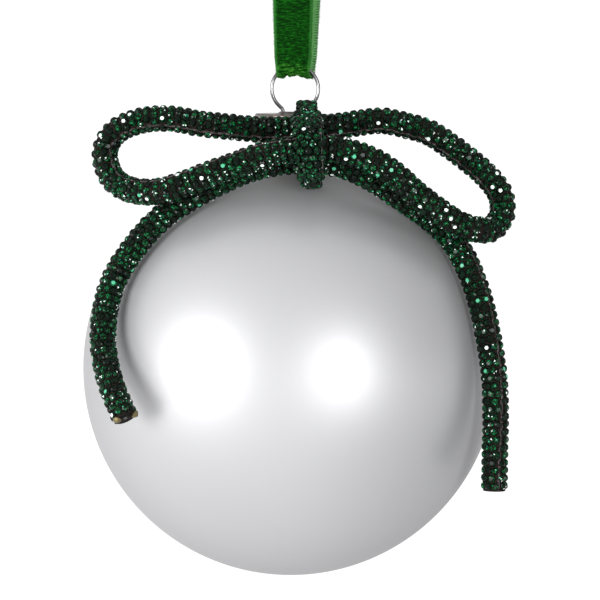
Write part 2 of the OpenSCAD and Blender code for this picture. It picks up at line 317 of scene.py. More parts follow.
def new_material(name):
    """The material, its nodes and links, and its Principled shader."""
    material = bpy.data.materials.new(name)
    material.use_nodes = True
    nodes, links = material.node_tree.nodes, material.node_tree.links
    return material, nodes, links, nodes["Principled BSDF"]


def add_bump(nodes, links, shader, height, strength, distance):
    bump = nodes.new("ShaderNodeBump")
    bump.inputs["Strength"].default_value = strength
    bump.inputs["Distance"].default_value = distance
    links.new(height, bump.inputs["Height"])
    links.new(bump.outputs["Normal"], shader.inputs["Normal"])


def add_noise(nodes, links, scale, detail=4, rough=0.55, stretch=(1, 1, 1)):
    """Noise in object space, in cycles per metre times stretch."""
    coord = nodes.new("ShaderNodeTexCoord")
    mapping = nodes.new("ShaderNodeMapping")
    mapping.inputs["Scale"].default_value = stretch
    noise = nodes.new("ShaderNodeTexNoise")
    noise.inputs["Scale"].default_value = scale
    noise.inputs["Detail"].default_value = detail
    noise.inputs["Roughness"].default_value = rough
    links.new(coord.outputs["Object"], mapping.inputs["Vector"])
    links.new(mapping.outputs["Vector"], noise.inputs["Vector"])
    return noise.outputs["Fac"]


def add_ramp(nodes, links, value, stops, steps=False):
    """Colour by value. Each stop is (position, colour)."""
    ramp = nodes.new("ShaderNodeValToRGB")
    ramp.color_ramp.interpolation = "CONSTANT" if steps else "LINEAR"
    while len(ramp.color_ramp.elements) < len(stops):
        ramp.color_ramp.elements.new(0.5)
    for element, (at, colour) in zip(ramp.color_ramp.elements, stops):
        element.position = at
        element.color = (*colour, 1)
    links.new(value, ramp.inputs["Fac"])
    return ramp.outputs["Color"]


def add_mix(nodes, links, share, first, second, blend="MIX"):
    """Colour from first to second by share. Each of these is a socket or a plain value."""
    mix = nodes.new("ShaderNodeMix")
    mix.data_type = "RGBA"
    mix.blend_type = blend
    for at, value in ((0, share), (6, first), (7, second)):
        if isinstance(value, bpy.types.NodeSocket):
            links.new(value, mix.inputs[at])
        else:
            mix.inputs[at].default_value = value
    return mix.outputs[2]


def add_range(nodes, links, value, low, high):
    spread = nodes.new("ShaderNodeMapRange")
    spread.inputs["To Min"].default_value = low
    spread.inputs["To Max"].default_value = high
    links.new(value, spread.inputs["Value"])
    return spread.outputs["Result"]


def add_attribute(nodes, name):
    attribute = nodes.new("ShaderNodeAttribute")
    attribute.attribute_name = name
    return attribute.outputs["Fac"]


def satin_silver():
    """Matte silver coat with a pearly cast, a very fine grain and a rim that keeps its grey."""
    material, nodes, links, shader = new_material("satin_silver")
    cloud = add_noise(nodes, links, 14, detail=2)
    links.new(add_ramp(nodes, links, cloud, [
        (0.3, (0.43, 0.43, 0.44)), (0.7, (0.46, 0.46, 0.47))]), shader.inputs["Base Color"])
    links.new(add_range(nodes, links, add_noise(nodes, links, 60, detail=3), 0.44, 0.47),
              shader.inputs["Roughness"])
    shader.inputs["Metallic"].default_value = 0.55
    shader.inputs["Specular Tint"].default_value = (0.4, 0.4, 0.4, 1)
    add_bump(nodes, links, shader, add_noise(nodes, links, 9000, detail=2), 0.04, 0.00005)
    return material


def bright_metal(name, colour, rough, grain):
    """Plated metal with faint worn patches."""
    material, nodes, links, shader = new_material(name)
    patches = add_noise(nodes, links, 350, detail=5)
    dark = tuple(c * 0.82 for c in colour)
    links.new(add_ramp(nodes, links, patches, [(0.35, dark), (0.6, colour)]), shader.inputs["Base Color"])
    links.new(add_range(nodes, links, patches, rough * 0.7, rough * 1.5), shader.inputs["Roughness"])
    shader.inputs["Metallic"].default_value = 1
    add_bump(nodes, links, shader, add_noise(nodes, links, grain, detail=3), 0.04, 0.00003)
    return material


def rhinestone():
    """Foiled emerald stones: each facet's colour is a painted glint, from dark to a painted white
    sparkle.
    """
    material, nodes, links, shader = new_material("rhinestone")
    # painted glints by facet: near-black, greens and teal, then a pale green and a white painted
    # highlight
    links.new(add_ramp(nodes, links, add_attribute(nodes, "glint"), [
        (0.0, (0.0006, 0.0028, 0.0013)), (0.42, (0.0008, 0.008, 0.003)),
        (0.58, (0.0008, 0.024, 0.007)), (0.75, (0.001, 0.055, 0.015)),
        (0.88, (0.003, 0.14, 0.035)), (0.95, (0.002, 0.07, 0.05)),
        (0.966, (0.08, 0.38, 0.22)), (0.978, (0.7, 0.78, 0.75))], steps=True),
        shader.inputs["Base Color"])
    shader.inputs["Roughness"].default_value = 0.14
    shader.inputs["Specular IOR Level"].default_value = 0.12
    add_bump(nodes, links, shader, add_noise(nodes, links, 2500, detail=2), 0.03, 0.00004)
    return material


def dark_net():
    """Black-brown knitted net that carries the stones."""
    material, nodes, links, shader = new_material("dark_net")
    coord = nodes.new("ShaderNodeTexCoord")
    cells = nodes.new("ShaderNodeTexVoronoi")
    cells.feature = "DISTANCE_TO_EDGE"
    cells.inputs["Scale"].default_value = 1500
    links.new(coord.outputs["Object"], cells.inputs["Vector"])
    links.new(add_ramp(nodes, links, cells.outputs["Distance"], [
        (0.0, (0.014, 0.009, 0.007)), (0.25, (0.002, 0.0015, 0.0015))]), shader.inputs["Base Color"])
    shader.inputs["Roughness"].default_value = 0.8
    shader.inputs["Specular IOR Level"].default_value = 0.1
    add_bump(nodes, links, shader, cells.outputs["Distance"], 0.6, 0.0002)
    return material


def thread(name, dark, pale, fleck=0.65):
    """Twisted thread, dark with paler fibres. A higher fleck leaves fewer of them."""
    material, nodes, links, shader = new_material(name)
    fibre = add_noise(nodes, links, 1300, detail=6, rough=0.7)
    links.new(add_ramp(nodes, links, fibre, [(fleck - 0.3, dark), (fleck, pale)]),
              shader.inputs["Base Color"])
    shader.inputs["Roughness"].default_value = 0.7
    shader.inputs["Specular IOR Level"].default_value = 0.1
    add_bump(nodes, links, shader, fibre, 0.4, 0.0001)
    return material


def velvet_pile():
    """Green velvet: short pile in fine cross rows, paler where it stands along the edges."""
    material, nodes, links, shader = new_material("velvet_pile")
    rows = add_noise(nodes, links, 1500, detail=3, stretch=(0.5, 0.5, 3.0))
    tufts = add_noise(nodes, links, 5200, detail=4, rough=0.7)
    mixed = nodes.new("ShaderNodeMath")
    mixed.operation = "MULTIPLY_ADD"
    mixed.inputs[1].default_value = 0.6
    links.new(tufts, mixed.inputs[0])
    links.new(add_range(nodes, links, rows, -0.3, 0.8), mixed.inputs[2])
    pile = add_ramp(nodes, links, mixed.outputs["Value"], [
        (0.36, (0.0002, 0.012, 0.0002)), (0.56, (0.0006, 0.024, 0.0006)), (0.78, (0.006, 0.11, 0.005))])
    edge = add_ramp(nodes, links, add_attribute(nodes, "across"), [(0.82, (0, 0, 0)), (1.0, (1, 1, 1))])
    edged = add_mix(nodes, links, edge, pile, (0.025, 0.13, 0.022, 1))
    # painted highlight over the fold and along its crease: a paler, yellower pile
    painted_fold_highlight = add_ramp(nodes, links, mixed.outputs["Value"], [
        (0.4, (0.0004, 0.016, 0.0004)), (0.58, (0.004, 0.075, 0.002)), (0.74, (0.11, 0.38, 0.05))])
    fold = add_range(nodes, links, add_attribute(nodes, "painted_fold_highlight"), 0, 0.8)
    links.new(add_mix(nodes, links, fold, edged, painted_fold_highlight), shader.inputs["Base Color"])
    shader.inputs["Roughness"].default_value = 0.85
    shader.inputs["Specular IOR Level"].default_value = 0.05
    shader.inputs["Sheen Weight"].default_value = 0.06
    shader.inputs["Sheen Roughness"].default_value = 0.35
    shader.inputs["Sheen Tint"].default_value = (0.2, 0.8, 0.2, 1)
    add_bump(nodes, links, shader, mixed.outputs["Value"], 0.5, 0.0002)
    return material


def velvet_back():
    """The ribbon's woven back: paler and satiny, with a dark stitched selvedge."""
    material, nodes, links, shader = new_material("velvet_back")
    weave = add_noise(nodes, links, 3800, detail=3, rough=0.7)
    body = add_ramp(nodes, links, weave, [
        (0.35, (0.04, 0.16, 0.035)), (0.55, (0.1, 0.3, 0.085)), (0.75, (0.2, 0.45, 0.17))])
    edge = add_ramp(nodes, links, add_attribute(nodes, "across"), [(0.76, (0, 0, 0)), (0.9, (1, 1, 1))])
    dashes = nodes.new("ShaderNodeTexWave")
    dashes.bands_direction = "Z"
    dashes.inputs["Scale"].default_value = 500
    dashes.inputs["Distortion"].default_value = 2.5
    dashes.inputs["Detail Scale"].default_value = 3
    coord = nodes.new("ShaderNodeTexCoord")
    links.new(coord.outputs["Object"], dashes.inputs["Vector"])
    selvedge = add_ramp(nodes, links, dashes.outputs["Fac"], [
        (0.2, (0.012, 0.06, 0.012)), (0.8, (0.1, 0.29, 0.085))])
    links.new(add_mix(nodes, links, edge, body, selvedge), shader.inputs["Base Color"])
    shader.inputs["Roughness"].default_value = 0.6
    shader.inputs["Specular IOR Level"].default_value = 0.15
    add_bump(nodes, links, shader, weave, 0.4, 0.00015)
    return material


# ---- ball, cap and wires ----

def make_ball(material):
    """The hollow ball with its open neck."""
    rows = 110
    inner_r = BALL_R - GLASS_T
    neck_in = NECK_R - GLASS_T
    lip = GLASS_T / 2
    start = math.asin(NECK_R / BALL_R)
    inner_start = math.asin(neck_in / inner_r)
    profile = [(neck_in + lip + lip * math.cos(a), NECK_TOP - lip + lip * math.sin(a))
               for a in (math.radians(t) for t in range(180, -1, -30))]
    profile += [(NECK_R, z) for z in (NECK_TOP - 3, NECK_TOP - 6, BALL_R * math.cos(start) + 0.6)]
    for i in range(rows + 1):
        a = start + (math.pi - start) * i / rows
        profile.append((BALL_R * math.sin(a) if i < rows else 0, BALL_R * math.cos(a)))
    for i in range(rows // 2, -1, -1):
        a = inner_start + (math.pi - inner_start) * i / (rows // 2)
        profile.append((inner_r * math.sin(a) if i < rows // 2 else 0, inner_r * math.cos(a)))
    profile += [(neck_in, NECK_TOP - 6), (neck_in, NECK_TOP - 3)]
    verts, faces = lathe(profile[::-1], 192)
    piece = make_piece("ball", verts, faces, [material], "ball")
    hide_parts("glass_ball")


def arc(cx, cz, r, a0, a1, n):
    """n + 1 points (radius, height) along an arc. Angles are in degrees."""
    return [(cx + r * math.cos(math.radians(a0 + (a1 - a0) * i / n)),
             cz + r * math.sin(math.radians(a0 + (a1 - a0) * i / n))) for i in range(n + 1)]


def make_cap(material):
    """The pressed cap: raised middle, rolled rim, fluted wall and scalloped skirt."""
    wall_in = CAP_R - CAP_T
    flutes, flute_depth, hem_depth = 32, 0.16, 0.9
    fade, hem_h = 1.5, 1.6  # heights over which flutes and scallops fade out

    def pressed(r, z, turn):
        """Flutes the wall and scallops the skirt's hem."""
        below_rim = min(1, max(0, (CAP_TOP - 1.6 - z) / fade))
        above_skirt = min(1, max(0, (z - SKIRT_Z - 1.2) / fade))
        wall = below_rim * above_skirt
        hem = max(0, 1 - (z - SKIRT_Z) / hem_h)
        r += flute_depth * wall * math.cos(flutes * turn) if r > BOSS_R + 1 else 0
        z += hem_depth * hem * abs(math.cos(SCALLOPS * turn / 2)) ** 1.5
        return r, z

    profile = [(0, CAP_TOP + BOSS_H), (BOSS_R - 0.8, CAP_TOP + BOSS_H)]
    profile += arc(BOSS_R - 0.8, CAP_TOP + BOSS_H - 0.3, 0.3, 90, 30, 3)[1:]
    profile += [(BOSS_R + 0.1, CAP_TOP + 0.1), (BOSS_R + 0.4, CAP_TOP)]
    profile += [(r, CAP_TOP - 0.04 * (r - BOSS_R)) for r in (6, 7.4)]
    profile += [(8.4, CAP_TOP - 0.05)]
    profile += arc(CAP_R - 0.1, CAP_TOP - 0.5, 0.5, 100, -95, 9)
    wall_top, wall_low = CAP_TOP - 1.2, SKIRT_Z + 3
    profile += [(CAP_R + 0.02 * (wall_top - z), z) for z in evenly(wall_top, wall_low, 8)]
    profile += [(CAP_R + 0.25, SKIRT_Z + 2.2), (CAP_R + 0.7, SKIRT_Z + 1.4),
                (SKIRT_R - 0.5, SKIRT_Z + 0.7), (SKIRT_R, SKIRT_Z)]
    profile += [(SKIRT_R - 0.4, SKIRT_Z), (SKIRT_R - 0.9, SKIRT_Z + 0.6), (CAP_R + 0.2, SKIRT_Z + 1.3),
                (wall_in + 0.2, SKIRT_Z + 2.4)]
    profile += [(wall_in + 0.1 * i / 4, wall_low + (wall_top - wall_low) * (1 - i / 4))
                for i in (3, 2, 1, 0)]
    profile += [(wall_in - 0.2, CAP_TOP - CAP_T), (BOSS_R - 0.5, CAP_TOP - CAP_T),
                (BOSS_R - 0.9, CAP_TOP - CAP_T + BOSS_H), (0, CAP_TOP - CAP_T + BOSS_H)]
    verts, faces = lathe(profile[::-1], 384, pressed)
    piece = make_piece("cap_shell", verts, faces, [material], "cap")
    cutters = []
    off_seam = 0.01  # keeps the drills off the lathe's rows of points
    for s in (-1, 1):
        drill, drill_faces = sweep([Vector((s * HOLE_X, off_seam, CAP_TOP + h)) for h in (-2, 2)],
                                   circle_outline(HOLE_D / 2, 32), [Vector((1, 0, 0))] * 2)
        mesh = bpy.data.meshes.new("drill")
        mesh.from_pydata([place(v) for v in drill], [], drill_faces)
        cutter = bpy.data.objects.new("drill", mesh)
        bpy.context.scene.collection.objects.link(cutter)
        cut = piece.modifiers.new("hole", "BOOLEAN")
        cut.object = cutter
        cut.solver = "EXACT"
        cutters.append(cutter)
    bpy.context.view_layer.update()
    evaluated = piece.evaluated_get(bpy.context.evaluated_depsgraph_get())
    drilled = bpy.data.meshes.new_from_object(evaluated)
    piece.modifiers.clear()
    piece.data = drilled
    for cutter in cutters:
        bpy.data.objects.remove(cutter)
    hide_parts("cap")


def make_hanger(material):
    """One length of spring wire: ring above the cap, legs that spread inside the neck."""
    holes = CAP_TOP + BOSS_H
    leave_x = RING_R * math.sin(RING_OPEN)
    leave_z = RING_Z - RING_R * math.cos(RING_OPEN)
    leg = [Vector((NECK_R, 0, BALL_R - 6.5)), Vector((6.2, 0, BALL_R - 4.3)),
           Vector((4.4, 0, BALL_R - 2)), Vector((3.6, 0, BALL_R + 3)),
           Vector((HOLE_X, 0, holes - 1.6)), Vector((HOLE_X, 0, holes + 0.4)),
           Vector((leave_x, 0, leave_z))]
    turns = 20
    arc_a = [RING_OPEN + (2 * math.pi - 2 * RING_OPEN) * i / turns for i in range(1, turns)]
    ring = [Vector((RING_R * math.sin(a), 0, RING_Z - RING_R * math.cos(a))) for a in arc_a]
    mirrored = [Vector((-p.x, p.y, p.z)) for p in reversed(leg)]
    path = spline(leg + ring + mirrored, 0.25)
    piece = tube_piece("hanger", path, WIRE_D / 2, 16, material, "hanger")
    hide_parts("hanger_wire")


def make_tie_wires(material):
    """The tie wire round the cap, and its two ends twisted together behind it."""
    path = spline([Vector(p) for p in TIE], 0.3)
    piece = tube_piece("tie", path, TIE_WIRE_R, 10, material, "cap", (0, 0, 1))
    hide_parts("tie_wire")
    turns, steps, length = 3, 60, 7
    start_x, start_y, start_z = 1.1, 10.9, 57
    back_share, up_share = 0.9, 0.4  # the twist leans up as it leaves the cap
    coil_r = TIE_WIRE_R + 0.06
    verts, faces = [], []
    for start in (0, math.pi):
        path = []
        for i in range(steps + 1):
            a = start + 2 * math.pi * turns * i / steps
            path.append(Vector((start_x + coil_r * math.cos(a),
                                start_y + length * back_share * i / steps,
                                start_z + coil_r * math.sin(a) + length * up_share * i / steps)))
        more, more_faces = sweep(path, circle_outline(TIE_WIRE_R, 10),
                                 sides_along(headings(path), (0, 0, 1)))
        faces += [tuple(v + len(verts) for v in f) for f in more_faces]
        verts += more
    piece = make_piece("tie_ends", verts, faces, [material], "cap")
    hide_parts("wire_twist")


# ---- rhinestone cord ----

STONE_R = 1.1
STONE_H = 0.66
STONE_SIDES = 8
STONE_LEAN = 0.09      # spread of the stones' uneven lean
DULL_SHARE = 0.25      # stones whose facets all stay dark: their painted glints are held low
DULL_LIMIT = 0.62
FLASH_SHARE = 0.07     # stones whose table is one painted flash of light
PALE_TURN = 1.2        # flashing stones turned by less, in radians, get a pale green painted flash and not a white one
# the painted colours of a table's flash: pale green and white
PALE_GLINT = 0.97
WHITE_GLINT = 0.99


def stone_shape():
    """(points, faces, shares) of one cut stone on the plane z = 0: girdle, break and table rings.

    A facet's share says how bright its painted glint may be: the rim gets painted shade and the table the
    brightest painted glints.
    """
    # share of the radius, share of the height, and turn in facets
    rings = [(1.0, -0.45, 0), (1.0, 0.05, 0), (0.8, 0.55, 0.5), (0.48, 1.0, 0)]
    points = [(STONE_R * r * math.cos(2 * math.pi * (k + turn) / STONE_SIDES),
               STONE_R * r * math.sin(2 * math.pi * (k + turn) / STONE_SIDES), STONE_H * h)
              for r, h, turn in rings for k in range(STONE_SIDES)]
    n = STONE_SIDES
    faces = [(k, (k + 1) % n, n + (k + 1) % n, n + k) for k in range(n)]
    # girdle facets hold low painted glints, as painted shade at the rim
    shares = [0.3] * n
    for k in range(n):
        m = (k + 1) % n
        faces.append((n + k, n + m, 2 * n + k))
        faces.append((n + m, 2 * n + m, 2 * n + k))
        faces.append((2 * n + k, 3 * n + m, 3 * n + k))
        faces.append((2 * n + k, 2 * n + m, 3 * n + m))
        shares += [0.78, 0.78, 1, 1]
    points.append((0, 0, STONE_H))
    faces += [(3 * n + k, 3 * n + (k + 1) % n, 4 * n) for k in range(n)]
    faces.append(tuple(range(n - 1, -1, -1)))
    shares += [1] * n + [0]
    return points, faces, shares


STONE_POINTS, STONE_FACES, STONE_SHARES = stone_shape()


class Stones:
    """Gathers cut stones into one mesh, with a painted glint value for each facet."""

    def __init__(self, seed):
        self.random = random.Random(seed)
        self.verts, self.faces, self.glints = [], [], []

    def add(self, centre, normal, along, size):
        rng = self.random
        tilt = Vector((rng.gauss(0, 1), rng.gauss(0, 1), rng.gauss(0, 1))) * STONE_LEAN
        normal = (normal + tilt).normalized()
        side = squared(along, normal)
        up = normal.cross(side)
        turn = rng.uniform(0, math.pi)
        c, s = math.cos(turn), math.sin(turn)
        base = len(self.verts)
        for x, y, z in STONE_POINTS:
            x, y = x * c - y * s, x * s + y * c
            self.verts.append(centre + (side * x + up * y + normal * z) * size)
        dull, flash = rng.random() < DULL_SHARE, rng.random() < FLASH_SHARE
        for face, share in zip(STONE_FACES, STONE_SHARES):
            self.faces.append(tuple(base + v for v in face))
            # each facet's painted glint; a flash stone's table is one painted highlight
            value = rng.random() * (DULL_LIMIT if dull else 1) * share
            if flash and face[-1] == 4 * STONE_SIDES:  # a facet of the table
                value = PALE_GLINT if turn < PALE_TURN else WHITE_GLINT
            self.glints.append(value)

    def piece(self, name, material):
        made = make_piece(name, self.verts, self.faces, [material], "cap", smooth=False)
        glint = made.data.attributes.new("glint", "FLOAT", "FACE")
        glint.data.foreach_set("value", self.glints)
        return made


def cord(name, route, first, seam_turns, seed, materials):
    """A sleeve of net and stones along route. Its seam twists from one turn to the other.

    Returns the net, stones and seam pieces.
    """
    net, stone, seam = materials
    path = spline(scaled(route), 0.7)
    heads = headings(path)
    sides = sides_along(heads, first)
    verts, faces = sweep(path, circle_outline(NET_R, 24), sides)
    net_piece = make_piece(name + "_net", verts, faces, [net], "cap")
    columns, pitch, size = 9, 1.82, 0.89
    seat = CORD_R - 0.94 * STONE_H  # the tables end just inside the cord's outline
    seam_gap = math.radians(14)
    span = 2 * math.pi - seam_gap
    stones = Stones(seed)
    total = path_length(path)
    rows = int((total - 1.2) / pitch)
    offset = (total - rows * pitch) / 2
    step = total / (len(path) - 1)
    reach = 4  # path points on each side that the bend is taken from
    least_room = 0.55  # in tighter bends every other row has a gap inside

    def seam_at(share):
        return seam_turns[0] + (seam_turns[1] - seam_turns[0]) * share

    for row in range(rows + 1):
        at = (offset + row * pitch) / step
        i = min(int(at), len(path) - 2)
        t = at - i
        centre = path[i].lerp(path[i + 1], t)
        head = heads[i].lerp(heads[i + 1], t).normalized()
        side = squared(sides[i].lerp(sides[i + 1], t), head)
        up = head.cross(side)
        before, after = heads[max(i - reach, 0)], heads[min(i + reach, len(path) - 1)]
        bend = (after - before) / (step * (min(i + reach, len(path) - 1) - max(i - reach, 0)))
        for column in range(columns):
            a = seam_at(row / rows) + seam_gap / 2 + span * (column + 0.25 + 0.5 * (row % 2)) / columns
            normal = side * math.cos(a) + up * math.sin(a)
            room = 1 - bend.dot(normal) * (CORD_R - 0.5)
            if room < least_room and row % 2:
                continue
            stones.add(centre + normal * seat, normal, head, size)
    stone_piece = stones.piece(name + "_stones", stone)
    seam_verts, seam_faces = [], []
    for lean in (-0.05, 0.06):  # the seam's two threads, in radians from its middle
        line = []
        for k, (point, head, side) in enumerate(zip(path, heads, sides)):
            up = head.cross(side)
            a = seam_at(k / (len(path) - 1)) + lean + 0.04 * math.sin(k * 1.9)
            line.append(point + (side * math.cos(a) + up * math.sin(a)) * (NET_R + 0.14))
        more, more_faces = sweep(line, circle_outline(SEAM_R, 6), sides_along(headings(line), first))
        seam_faces += [tuple(v + len(seam_verts) for v in f) for f in more_faces]
        seam_verts += more
    seam_piece = make_piece(name + "_seam", seam_verts, seam_faces, [seam], "cap")
    return net_piece, stone_piece, seam_piece


def make_foil_backs(material):
    """Two stones at the left tail's cut end, tipped over so that their foil backs show."""
    path = spline(scaled(TAILS), 0.7)
    head = headings(path)[0]
    verts, faces = [], []
    for x_side in (-1, 1):
        side = squared(Vector((x_side, -0.35, -0.35 * x_side)), head)
        centre = path[0] + side * (CORD_R - 0.75) - head * 0.25
        axis = (side * 0.55 - head).normalized()
        u = squared(side, axis)
        v = axis.cross(u)
        n = len(verts)
        rings = [(0.95, -0.3), (1.0, 0.0), (0.55, 0.45), (0.2, 0.72)]
        count = 12
        for r, h in rings:
            verts += [centre + axis * h + (u * math.cos(2 * math.pi * k / count)
                                           + v * math.sin(2 * math.pi * k / count)) * r
                      for k in range(count)]
        for ring in range(len(rings) - 1):
            for k in range(count):
                a, b, m = n + ring * count, n + (ring + 1) * count, (k + 1) % count
                faces.append((a + k, a + m, b + m, b + k))
        faces.append(tuple(n + count - 1 - k for k in range(count)))
        faces.append(tuple(n + (len(rings) - 1) * count + k for k in range(count)))
    piece = make_piece("tail_foil_backs", verts, faces, [material], "cap", smooth=False)
    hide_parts("bow_tails")


def cord_core(name, route, first, filler, wire, nodes):
    """The filler cord and the shaping wire inside a sleeve."""
    path = spline(scaled(route), 1.2)
    inner = tube_piece(name + "_filling", path, FILLER_R, 20, filler, "cap", first)
    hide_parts(nodes[0])
    stub = 0.15  # how far the wire stands out of the filler's cut ends
    longer = [path[0] + (path[0] - path[1]).normalized() * stub, *path[1:-1],
              path[-1] + (path[-1] - path[-2]).normalized() * stub]
    core = tube_piece(name + "_wire", longer, CORE_WIRE_R, 12, wire, "cap", first)
    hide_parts(nodes[1])


def make_wrap(net, stone, seam):
    """A flattened length of the cord, closed round the three strands."""
    path = spline(scaled(WRAP), 0.5, closed=True)
    heads = headings(path, closed=True)
    low, top = min(p.z for p in path), max(p.z for p in path)
    pinch_depth, pinch_h = 0.3, 3.5

    def pinch(z):
        """Share of the full width at height z: less at the wrap's top and bottom."""
        at_top = smooth_step(top - pinch_h, top, z)
        at_low = 1 - smooth_step(low, low + pinch_h, z)
        return 1 - pinch_depth * (at_top + at_low)

    sides = [squared(Vector((1, 0, 0)), head) * pinch(p.z) for p, head in zip(path, heads)]
    outline = [(a * (WRAP_W / 2 - 0.55), b * (WRAP_T / 2 - 0.6)) for a, b in circle_outline(1, 24)]
    verts, faces = sweep(path, outline, sides, closed=True)
    net_piece = make_piece("wrap_net", verts, faces, [net], "cap")
    middle = sum(path, Vector()) / len(path)
    outs = []
    for point, head, side in zip(path, heads, sides):
        out = head.cross(side).normalized()
        outs.append(out if out.dot(point - middle) > 0 else -out)
    stones = Stones(77)
    crown = [point + out * (WRAP_T / 2) for point, out in zip(path, outs)]
    lengths = [(q - p).length for p, q in zip(crown, crown[1:] + crown[:1])]
    pitch, spread, size = 1.95, 2.0, 0.95
    rows = round(sum(lengths) / pitch)
    i, gone = 0, 0.0
    for row in range(rows):
        want = sum(lengths) * row / rows
        while gone + lengths[i] < want:
            gone += lengths[i]
            i += 1
        t, j = (want - gone) / lengths[i], (i + 1) % len(path)
        centre, head = path[i].lerp(path[j], t), heads[i].lerp(heads[j], t).normalized()
        out = squared(outs[i].lerp(outs[j], t), head)
        side = squared(Vector((1, 0, 0)), head)
        squeeze = pinch(centre.z)
        count = 3 + row % 2 - (squeeze < 0.85)
        for column in range(count):
            x = (column - (count - 1) / 2) * spread * max(squeeze, 0.87)
            edge = min(1, abs(x) / (WRAP_W / 2 - 0.1))
            rise = math.sqrt(1 - edge ** 2)
            normal = (out * (rise + 0.3) + side * (x / WRAP_W * 1.7)).normalized()
            seat = side * x * 0.95 + out * (rise * (WRAP_T / 2 - STONE_H + 0.1) + 0.3 * (squeeze - 1))
            stones.add(centre + seat, normal, head, size)
    stone_piece = stones.piece("wrap_stones", stone)
    line = [point + side * (WRAP_W / 2 - 0.4 + 0.08 * math.sin(1.7 * k)) + out * 0.7
            for k, (point, side, out) in enumerate(zip(path, sides, outs))]
    verts, faces = sweep(line, circle_outline(SEAM_R, 6),
                         [squared(Vector((1, 0, 0)), h) for h in headings(line, True)], closed=True)
    seam_piece = make_piece("wrap_seam", verts, faces, [seam], "cap")
    for piece in (net_piece, stone_piece, seam_piece):
        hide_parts("bow_wrap")


# ---- ribbon ----

def strand_at(z):
    """Distance of a strand from the middle plane at height z."""
    top = HANG_Z - RIBBON_GAP
    if z <= HINGE_Z:
        return PINCH_Y
    return PINCH_Y + (RIBBON_GAP + RIBBON_T / 2 - PINCH_Y) * ((z - HINGE_Z) / (top - HINGE_Z)) ** 0.8


def ribbon_route():
    """Middle line of the whole ribbon: from the lap's inner end, down the rear strand, through
    the ring, up the front strand, over the top and down to the lap's outer end."""
    turn_z = HANG_Z - RIBBON_GAP
    turn_r = RIBBON_GAP + RIBBON_T / 2
    inner_end = turn_z - 6  # the lap starts this far below the bend
    outer_end = inner_end - LAP_L
    shoulder = RING_Z + RING_R + WIRE_D
    bottom = FOLD_Z + RIBBON_T / 2 + STRAND_Y

    def shift(z):
        return 0.65 + 0.3 * smooth_step(FOLD_Z, HINGE_Z + 22, z)

    below = [(PINCH_Y, HINGE_Z - 0.8), ((PINCH_Y + STRAND_Y) / 2, shoulder + 0.6),
             (STRAND_Y, shoulder - 0.9)]
    points = []
    for z in evenly(inner_end, HINGE_Z + 1, 12):
        # at the lap this layer steps in, to make room for the outer one
        tuck = min(1, max(0, (z - (outer_end - 8)) / 8)) * (RIBBON_T / 2 + 0.1)
        points.append((shift(z), strand_at(z) - tuck, z))
    points += [(shift(z), y, z) for y, z in below]
    for a in range(0, 181, 30):
        turn = math.radians(a)
        z = bottom - STRAND_Y * math.sin(turn)
        points.append((shift(z) * math.cos(turn), STRAND_Y * math.cos(turn), z))
    points += [(-shift(z), -y, z) for y, z in reversed(below)]
    for z in evenly(HINGE_Z + 1, turn_z - 1, 12):
        points.append((-shift(z), -strand_at(z), z))
    for a in range(0, 181, 20):
        turn = math.radians(a)
        z = turn_z + turn_r * math.sin(turn)
        points.append((-shift(z) * math.cos(turn), -turn_r * math.cos(turn), z))
    for z in evenly(turn_z - 3, outer_end, 4):
        points.append((shift(z), strand_at(z) + RIBBON_T / 2 + 0.05, z))
    return [Vector(p) for p in points]


def ribbon_section(p, head, waves):
    """Where the ribbon is at route point p: a function of (share of half width, side)."""
    out = Vector((0, -head.z, head.y))
    low = 1 - smooth_step(FOLD_Z + 0.5, RING_Z + RING_R + 3, p.z)
    narrow = 1 - smooth_step(FOLD_Z, HINGE_Z + 14, p.z)
    width = RIBBON_W * (1 - 0.06 * narrow - 0.012 * math.sin(p.z * 0.19))
    bend_r = 8.0

    def at(u, side):
        x = u * width / 2
        arch = bend_r - math.sqrt(bend_r ** 2 - x ** 2)
        narrow_dent = 0.75 * math.exp(-((x + 2.1) / 0.4) ** 2)
        wide_dent = 0.4 * math.exp(-((x - 0.4) / 1.1) ** 2)
        ripple = 0.04 * sum(h * math.sin(w * p.z * 0.35 + a + 0.3 * x) for w, a, h in waves)
        thick = RIBBON_T / 2 * (1 - 0.55 * abs(u) ** 9)
        point = Vector((p.x + x, p.y, p.z)) + out * (thick * side + ripple * (1 - low))
        point.x -= 0.1 * low * x
        point.z += low * (narrow_dent + wide_dent - 0.45 * arch - 0.12 * math.sin(3.9 * x + 2))
        return point

    return at


